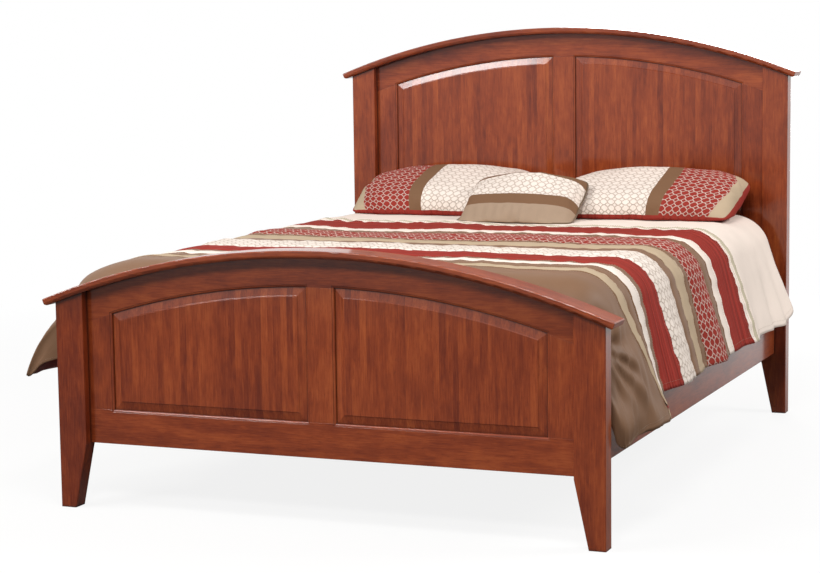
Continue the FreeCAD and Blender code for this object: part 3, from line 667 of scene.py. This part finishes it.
def pillow_form(length, depth, loft, columns=56, rows=40):
    """Two flat panels sewn together all round, a little apart: points, faces, flat places and the seam."""
    grid = {}
    points, cut, faces = [], [], []
    for level in (1, -1):
        for j in range(rows + 1):
            for i in range(columns + 1):
                edge = i in (0, columns) or j in (0, rows)
                if edge and level < 0:
                    grid[level, i, j] = grid[1, i, j]
                    continue
                s, t = 2 * i / columns - 1, 2 * j / rows - 1
                lift = 0.0 if edge else level * loft / 2 * (1 - s ** 4) ** 0.6 * (1 - t ** 4) ** 0.6
                grid[level, i, j] = len(points)
                # the corners are drawn in
                x = s * (1 - 0.07 * t ** 4) * length / 2
                y = t * (1 - 0.09 * s ** 4) * depth / 2
                points.append((x, y, lift * 0.5))
                cut.append((s * length / 2, t * depth / 2, level if not edge else 0))
        for j in range(rows):
            for i in range(columns):
                ring = [grid[level, a, b] for a, b in ((i, j), (i + 1, j), (i + 1, j + 1), (i, j + 1))]
                faces.append(ring if level > 0 else ring[::-1])
    seam = [grid[1, i, 0] for i in range(columns)] + [grid[1, columns, j] for j in range(rows)]
    seam += [grid[1, i, rows] for i in range(columns, 0, -1)] + [grid[1, 0, j] for j in range(rows, 0, -1)]
    return np.array(points), faces, np.array(cut), seam


def blow_up(points, faces, pressure, steps):
    """Fills a sewn shell with air as a cloth simulation and returns where its points end up."""
    mesh = bpy.data.meshes.new("shell")
    mesh.from_pydata([tuple(p) for p in points], [], faces)
    shell = bpy.data.objects.new("shell", mesh)
    bpy.context.collection.objects.link(shell)
    cloth = shell.modifiers.new("cloth", "CLOTH")
    settings = dict(
        quality=6, mass=0.25, tension_stiffness=20, compression_stiffness=5, shear_stiffness=6,
        bending_stiffness=0.5, use_pressure=True, uniform_pressure_force=pressure,
    )
    for key, value in settings.items():
        setattr(cloth.settings, key, value)
    cloth.settings.effector_weights.gravity = 0
    cloth.collision_settings.use_collision = False
    cloth.point_cache.frame_start = 1
    cloth.point_cache.frame_end = steps
    scene = bpy.context.scene
    for number in range(1, steps + 1):
        scene.frame_set(number)
    graph = bpy.context.evaluated_depsgraph_get()
    ended = shell.evaluated_get(graph).data
    out = np.array([v.co[:] for v in ended.vertices])
    bpy.data.objects.remove(shell)
    scene.frame_set(1)
    return out


def calmed(points, faces, seam, rounds):
    """Eases out the small creases of a blown shell; its seam keeps to its own line."""
    ring = np.array(faces)
    pairs = np.concatenate([ring[:, [k, (k + 1) % 4]] for k in range(4)])
    own, other = np.concatenate([pairs, pairs[:, ::-1]]).T
    near = np.bincount(own, minlength=len(points))[:, None]
    seam = np.array(seam)
    for _ in range(rounds):
        total = np.stack([np.bincount(own, points[other, k], len(points)) for k in range(3)], axis=-1)
        eased = (points + total / near) / 2
        line = points[seam]
        eased[seam] = line / 2 + (np.roll(line, 1, axis=0) + np.roll(line, -1, axis=0)) / 4
        points = eased
    return points


def gathers(cut, length, depth, rise, pitch):
    """Small pleats that run in from the seam all round."""
    pleat_length, pleat_start = 0.028, 0.006
    x, y, level = cut.T
    total = 0
    for run, edge in ((x, depth / 2 - np.abs(y)), (y, length / 2 - np.abs(x))):
        fade = np.exp(-edge / pleat_length) * (1 - np.exp(-edge / pleat_start))
        total = total + fade * np.sin(2 * pi * run / pitch + 1.6 * np.sin(41 * run))
    return rise * total * level


def let_out(points, cut, half, axis, pull, corner):
    """Lets the edges out to their sewn line, a little hollow between rounded corners, after the fill."""
    run, number = np.unique(cut[:, 1 - axis].round(5), return_inverse=True)
    reach = np.zeros(len(run))
    np.maximum.at(reach, number, np.abs(points[:, axis]))
    s = run / run.max()
    points[:, axis] *= (half * (1 - pull * (1 - s ** 2) - corner * s ** 8) / reach)[number]


def blown_pillow(length, depth, loft, full, back, rise, pitch):
    """A stuffed cushion of a given size about its middle, gathered along its seam: the lower full is, the
    boxier its crown, and its back is flatter by back."""
    points, faces, cut, seam = pillow_form(length, depth, loft)
    points = calmed(blow_up(points, faces, pressure=3.0, steps=14), faces, seam, rounds=6)
    points = points - (points.max(axis=0) + points.min(axis=0)) / 2
    let_out(points, cut, length / 2, axis=0, pull=0.02, corner=0.07)
    let_out(points, cut, depth / 2, axis=1, pull=0.03, corner=0.1)
    crown = np.abs(points[:, 2]) / np.abs(points[:, 2]).max()
    points[:, 2] = np.sign(points[:, 2]) * loft / 2 * crown ** full
    points[:, 2] += gathers(cut, length, depth, rise, pitch)
    points[:, 2] *= np.where(points[:, 2] < 0, back, 1.0)
    return points, faces, cut, seam


def lay_pillow(points, node, tilt, seat):
    """Tips a pillow up, sets it in the space of its node, and flattens it where it lies."""
    pressed = 0.03  # height over the seat within which it flattens
    c, s = np.cos(radians(tilt)), np.sin(radians(tilt))
    x, y, z = points.T
    turned = np.stack([x, y * c - z * s, y * s + z * c], axis=-1)
    low, high = (np.array(corner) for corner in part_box(node))
    middle = (turned.max(axis=0) + turned.min(axis=0)) / 2
    turned = turned - middle + (low + high) / 2
    turned[:, 1] += high[1] - turned[:, 1].max()
    turned[:, 2] += high[2] - turned[:, 2].max()
    under = turned[:, 2] < seat + pressed
    rise = np.clip((turned[:, 2] - (seat - pressed)) / (2 * pressed), 0, 1)
    turned[:, 2] = np.where(under, seat + pressed * rise ** 2, turned[:, 2])
    return turned


def finished_pillow(name, node, points, faces, cut, material):
    """One subdivided cushion that stands for its node."""
    piece = new_piece(name, points, faces, material, cut)
    finer = piece.modifiers.new("finer", "SUBSURF")
    finer.levels = finer.render_levels = 1
    settle(piece)
    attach(piece, node)
    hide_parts(node)
    return piece


def shams():
    """Two shams with pieced fronts and plain red backs, one the mirror of the other."""
    length, depth, loft, tilt = 0.66, 0.405, 0.18, 16
    points, faces, cut, _ = blown_pillow(length, depth, loft, full=0.75, back=0.62, rise=0.002, pitch=0.03)
    half = length / 2
    bands = (
        (-half, -0.264, tan, ""),
        (-0.264, -0.087, red, "lattice"),
        (-0.087, -0.037, brown, ""),
        (-0.037, half, white, "lattice"),
    )
    # the back panel rolls round to the front along the lower edge and the outer end
    cut = cut.copy()
    cut[(cut[:, 1] < -0.188) | (cut[:, 0] < -0.315), 2] = back_panel
    cloth = pieced_cloth("pieced_sham_cotton", 0, bands, -half, half, back=red)
    for node, way in (("sham_left", 1), ("sham_right", -1)):
        own = points * np.array([way, 1, 1])
        rings = faces if way > 0 else [f[::-1] for f in faces]
        laid = lay_pillow(own, node, tilt, bed_top + rest_gap)
        piece = finished_pillow(node + "_cover", node, laid, rings, cut, cloth)


def piped_seam(name, path, radius, material):
    """A corded edge: a round tube sewn into the seam, closed on itself."""
    curve = bpy.data.curves.new(name, "CURVE")
    curve.dimensions = "3D"
    curve.bevel_depth = radius
    curve.bevel_resolution = 2
    line = curve.splines.new("POLY")
    line.points.add(len(path) - 1)
    line.points.foreach_set("co", np.column_stack([path, np.ones(len(path))]).ravel())
    line.use_cyclic_u = True
    cord = bpy.data.objects.new(name, curve)
    bpy.context.collection.objects.link(cord)
    mesh = bpy.data.meshes.new_from_object(cord)
    bpy.data.objects.remove(cord)
    mesh.polygons.foreach_set("use_smooth", [True] * len(mesh.polygons))
    mesh.materials.clear()
    mesh.materials.append(material)
    piece = bpy.data.objects.new(name, mesh)
    bpy.context.collection.objects.link(piece)
    return piece


def accent_pillow():
    """The oblong pillow in front, pieced across, with a corded seam."""
    length, depth, loft, tilt = 0.425, 0.316, 0.14, 34
    points, faces, cut, seam = blown_pillow(length, depth, loft, full=0.85, back=0.7, rise=0.003, pitch=0.019)
    half = depth / 2
    # the tan panel is gathered into the band above it
    pleat_high, pleat_pitch = 0.0016, 0.034
    across, along, level = cut.T
    fold = smooth(-0.045, -0.075, along) * smooth(-half, -half + 0.02, along) * (level > 0)
    points[:, 2] += pleat_high * fold * np.sin(2 * pi * across / pleat_pitch + 1.4 * np.sin(23 * across))
    bands = (
        (-half, -0.052, accent_tan, ""),
        (-0.052, -0.008, brown, ""),
        (-0.008, 0.1, white, "lattice"),
        (0.1, half, brown, ""),
    )
    cloth = pieced_cloth("pieced_accent_cotton", 1, bands, -half, half, back=brown)
    laid = lay_pillow(points, "accent_pillow", tilt, bed_top + rest_gap)
    piece = finished_pillow("accent_pillow_cover", "accent_pillow", laid, faces, cut, cloth)
    twill = plain_cloth("piping_twill", "#55432f", "#66523d")
    cord = piped_seam("accent_piping", laid[seam], radius=0.003, material=twill)
    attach(cord, "accent_pillow")


# Mattress and box spring

mattress_corner, base_corner = 0.16, 0.07
tape_radius, tape_inset = 0.005, 0.002


def rounded_outline(half_x, y0, y1, corner, count=10):
    """Points round a rectangle with rounded corners."""
    points = []
    middle = (y0 + y1) / 2
    half_y = (y1 - y0) / 2
    for number, (sx, sy) in enumerate(((1, 1), (-1, 1), (-1, -1), (1, -1))):
        for k in range(count + 1):
            a = pi / 2 * (number + k / count)
            x = sx * (half_x - corner) + corner * np.cos(a)
            y = middle + sy * (half_y - corner) + corner * np.sin(a)
            points.append((x, y))
    return points


def padded_block(name, node, levels, corner, material):
    """A sewn block: outlines stacked by height and inset, closed above and below."""
    low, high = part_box(node)
    points, faces = [], []
    for height, inset in levels:
        ring = rounded_outline(high[0] - inset, low[1] + inset, high[1] - inset, max(corner - inset, 0.01))
        points += [(x, y, low[2] + height * (high[2] - low[2])) for x, y in ring]
    count = len(ring)
    for k in range(len(levels) - 1):
        for i in range(count):
            j = (i + 1) % count
            faces.append((k * count + i, k * count + j, (k + 1) * count + j, (k + 1) * count + i))
    faces.append(tuple(range(count))[::-1])
    faces.append(tuple(range((len(levels) - 1) * count, len(levels) * count)))
    piece = new_piece(name, points, faces, material)
    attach(piece, "bed")
    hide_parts(node)


def mattress_and_base():
    """A quilted mattress with taped edges on a box spring in woven ticking."""
    knit = plain_cloth("quilted_knit", "#d9d5cc", "#eceae4")
    ticking = plain_cloth("woven_ticking", "#c6c0b2", "#dad5c9")
    # share of the height, and inset from the side in metres
    side = [(0.0, 0.05), (0.0, 0.025), (0.02, 0.008), (0.05, 0.001), (0.09, 0.0), (0.12, 0.004)]
    side += [(0.35, 0.0), (0.6, 0.002), (0.66, 0.0), (0.75, 0.006), (0.84, 0.022), (0.91, 0.044)]
    side += [(0.96, 0.066), (0.99, 0.085), (1.0, 0.105)]
    padded_block("mattress_cover", "mattress", side, mattress_corner, knit)
    base = [(0.0, 0.03), (0.0, 0.012), (0.03, 0.003), (0.08, 0.0), (0.11, 0.003), (0.5, 0.001), (0.89, 0.003)]
    base += [(0.92, 0.0), (0.97, 0.003), (1.0, 0.012), (1.0, 0.03)]
    padded_block("box_spring_cover", "box_spring", base, base_corner, ticking)
    tape = plain_cloth("edge_tape", "#b9b2a3", "#cbc5b7")
    for node, corner, slot, heights in (
        ("mattress", mattress_corner, "mattress_knit", (0.1, 0.68)),
        ("box_spring", base_corner, "ticking", (0.09, 0.91)),
    ):
        low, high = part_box(node)
        for label, share in zip(("low", "high"), heights):
            ring = rounded_outline(high[0] - tape_inset, low[1] + tape_inset, high[1] - tape_inset, corner)
            path = [(x, y, low[2] + share * (high[2] - low[2])) for x, y in ring]
            edge = piped_seam(f"{node}_{label}_tape", path, tape_radius, tape)
            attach(edge, "bed")


# Camera, floor and light

floor_half = 30.0
gloss_rays = ("Is Glossy Ray", "Is Transmission Ray")


def set_camera():
    """The photograph's viewing angle: from the right of the footboard, a little above the bed."""
    eye = (2.4819, -6.4009, 1.3878)
    yaw, pitch, roll = 0.3933, -0.1207, -0.0133
    focal_pixels, photo_width, sensor = 2127.55, 820, 36
    ahead = Vector((-sin(yaw) * cos(pitch), cos(yaw) * cos(pitch), sin(pitch)))
    right = Vector((cos(yaw), sin(yaw), 0))
    up = right.cross(ahead)
    r = cos(roll) * right + sin(roll) * up
    u = -sin(roll) * right + cos(roll) * up
    lens = bpy.data.cameras.new("camera")
    lens.sensor_width = sensor
    lens.lens = focal_pixels / photo_width * sensor
    camera = bpy.data.objects.new("camera", lens)
    camera.matrix_world = Matrix([(r[k], u[k], -ahead[k], eye[k]) for k in range(3)] + [(0, 0, 0, 1)])
    bpy.context.collection.objects.link(camera)
    bpy.context.scene.camera = camera


def lamp(name, place, target, wide, tall, power, along=(0, 0, 0)):
    """A soft box or strip lamp, its long side level or along a given line."""
    light = bpy.data.lights.new(name, "AREA")
    light.shape = "RECTANGLE"
    light.size, light.size_y = wide, tall
    light.energy = power
    away = (Vector(place) - Vector(target)).normalized()
    run = Vector(along) if any(along) else Vector((0, 0, 1)).cross(away)
    run = (run - run.dot(away) * away).normalized()
    up = away.cross(run)
    box = bpy.data.objects.new(name, light)
    box.visible_camera = False
    box.matrix_world = Matrix([(run[k], up[k], away[k], place[k]) for k in range(3)] + [(0, 0, 0, 1)])
    bpy.context.collection.objects.link(box)


def set_world():
    """Surroundings that the camera, gloss and glass see as plain white, and that give only a little light."""
    world = bpy.data.worlds.new("studio")
    bpy.context.scene.world = world
    world.use_nodes = True
    tree = world.node_tree
    path = add(tree, "ShaderNodeLightPath").node.outputs
    seen = path["Is Camera Ray"]
    for kind in gloss_rays:
        seen = add(tree, "ShaderNodeMath", {0: seen, 1: path[kind]}, operation="MAXIMUM")
    back = tree.nodes["Background"]
    back.inputs["Color"].default_value = (1, 1, 1, 1)
    power = add(tree, "ShaderNodeMapRange", {0: seen, 3: 0.12, 4: 1.0})
    tree.links.new(power, back.inputs["Strength"])


def floor_paint():
    """White floor that keeps the bed's shadow."""
    material, tree, shader = surface("white_floor", Roughness=0.9)
    path = add(tree, "ShaderNodeLightPath").node.outputs
    seen = path["Is Camera Ray"]
    inputs = {0: seen, 6: tint("#6b6865"), 7: tint("#e6e4e1")}
    shade = add(tree, "ShaderNodeMix", inputs, data_type="RGBA", out=2)
    tree.links.new(shade, shader.inputs["Base Color"])
    # painted light: gloss sees the floor glow white far before the bed, paler behind it and grey close by,
    # standing in for a floor lit by studio lamps
    place = add(tree, "ShaderNodeTexCoord", out="Object")
    level = add(tree, "ShaderNodeSeparateXYZ", {0: place}, out=1)
    before = add(tree, "ShaderNodeMapRange", {0: level, 1: -4.6, 2: -7.6, 3: 0.03, 4: 0.8})
    behind = add(tree, "ShaderNodeMapRange", {0: level, 1: 0.8, 2: 2.6, 3: 0.0, 4: 0.85})
    far = add(tree, "ShaderNodeMath", {0: before, 1: behind}, operation="MAXIMUM")
    # the camera sees it white, and its shade only round the bed
    off = add(tree, "ShaderNodeVectorMath", {0: place}, operation="LENGTH", out="Value")
    off = add(tree, "ShaderNodeMapRange", {0: off, 1: 1.6, 2: 4.5, 3: 0.86, 4: 1.0})
    part = add(tree, "ShaderNodeMath", {0: seen, 1: off}, operation="MULTIPLY")
    # glossy and transmission rays see that painted glow
    for kind in gloss_rays:
        inputs = {0: path[kind], 1: far, 2: part}
        part = add(tree, "ShaderNodeMath", inputs, operation="MULTIPLY_ADD")
    glow = add(tree, "ShaderNodeEmission", {"Color": (1, 1, 1, 1), "Strength": 1.0})
    both = add(tree, "ShaderNodeMixShader", {0: part, 1: shader.outputs[0], 2: glow})
    tree.links.new(both, tree.nodes["Material Output"].inputs["Surface"])
    return material


def set_stage():
    """The floor and surroundings, under soft studio light."""
    bpy.context.scene.view_settings.view_transform = "Standard"
    set_world()
    corners = [(x * floor_half, y * floor_half, 0) for x, y in ((-1, -1), (1, -1), (1, 1), (-1, 1))]
    floor = new_piece("floor", corners, [(0, 1, 2, 3)], floor_paint())
    lamp("main", (1.9, -3.0, 5.2), (0.1, -0.1, 0.6), 1.8, 1.8, 112)
    lamp("over", (-2.8, -2.3, 4.5), (-0.3, -0.7, 0.6), 2.9, 1.0, 125, (0.88, -0.28, 0.4))
    lamp("key", (1.2, -5.2, 4.0), (0, 0, 0.6), 1.0, 1.0, 110)
    lamp("strip", (-3.45, -5.1, 3.8), (0, 0.4, 0.9), 1.8, 1.0, 125)
    lamp("right", (4.6, 1.2, 3.6), (0.6, 0, 0.4), 2.0, 2.0, 174)
    lamp("back", (-0.4, 4.6, 1.4), (0, 1.1, 0.8), 1.6, 1.6, 90)


finish_wood()
finish_fittings()
comforter()
shams()
accent_pillow()
mattress_and_base()
set_stage()
set_camera()
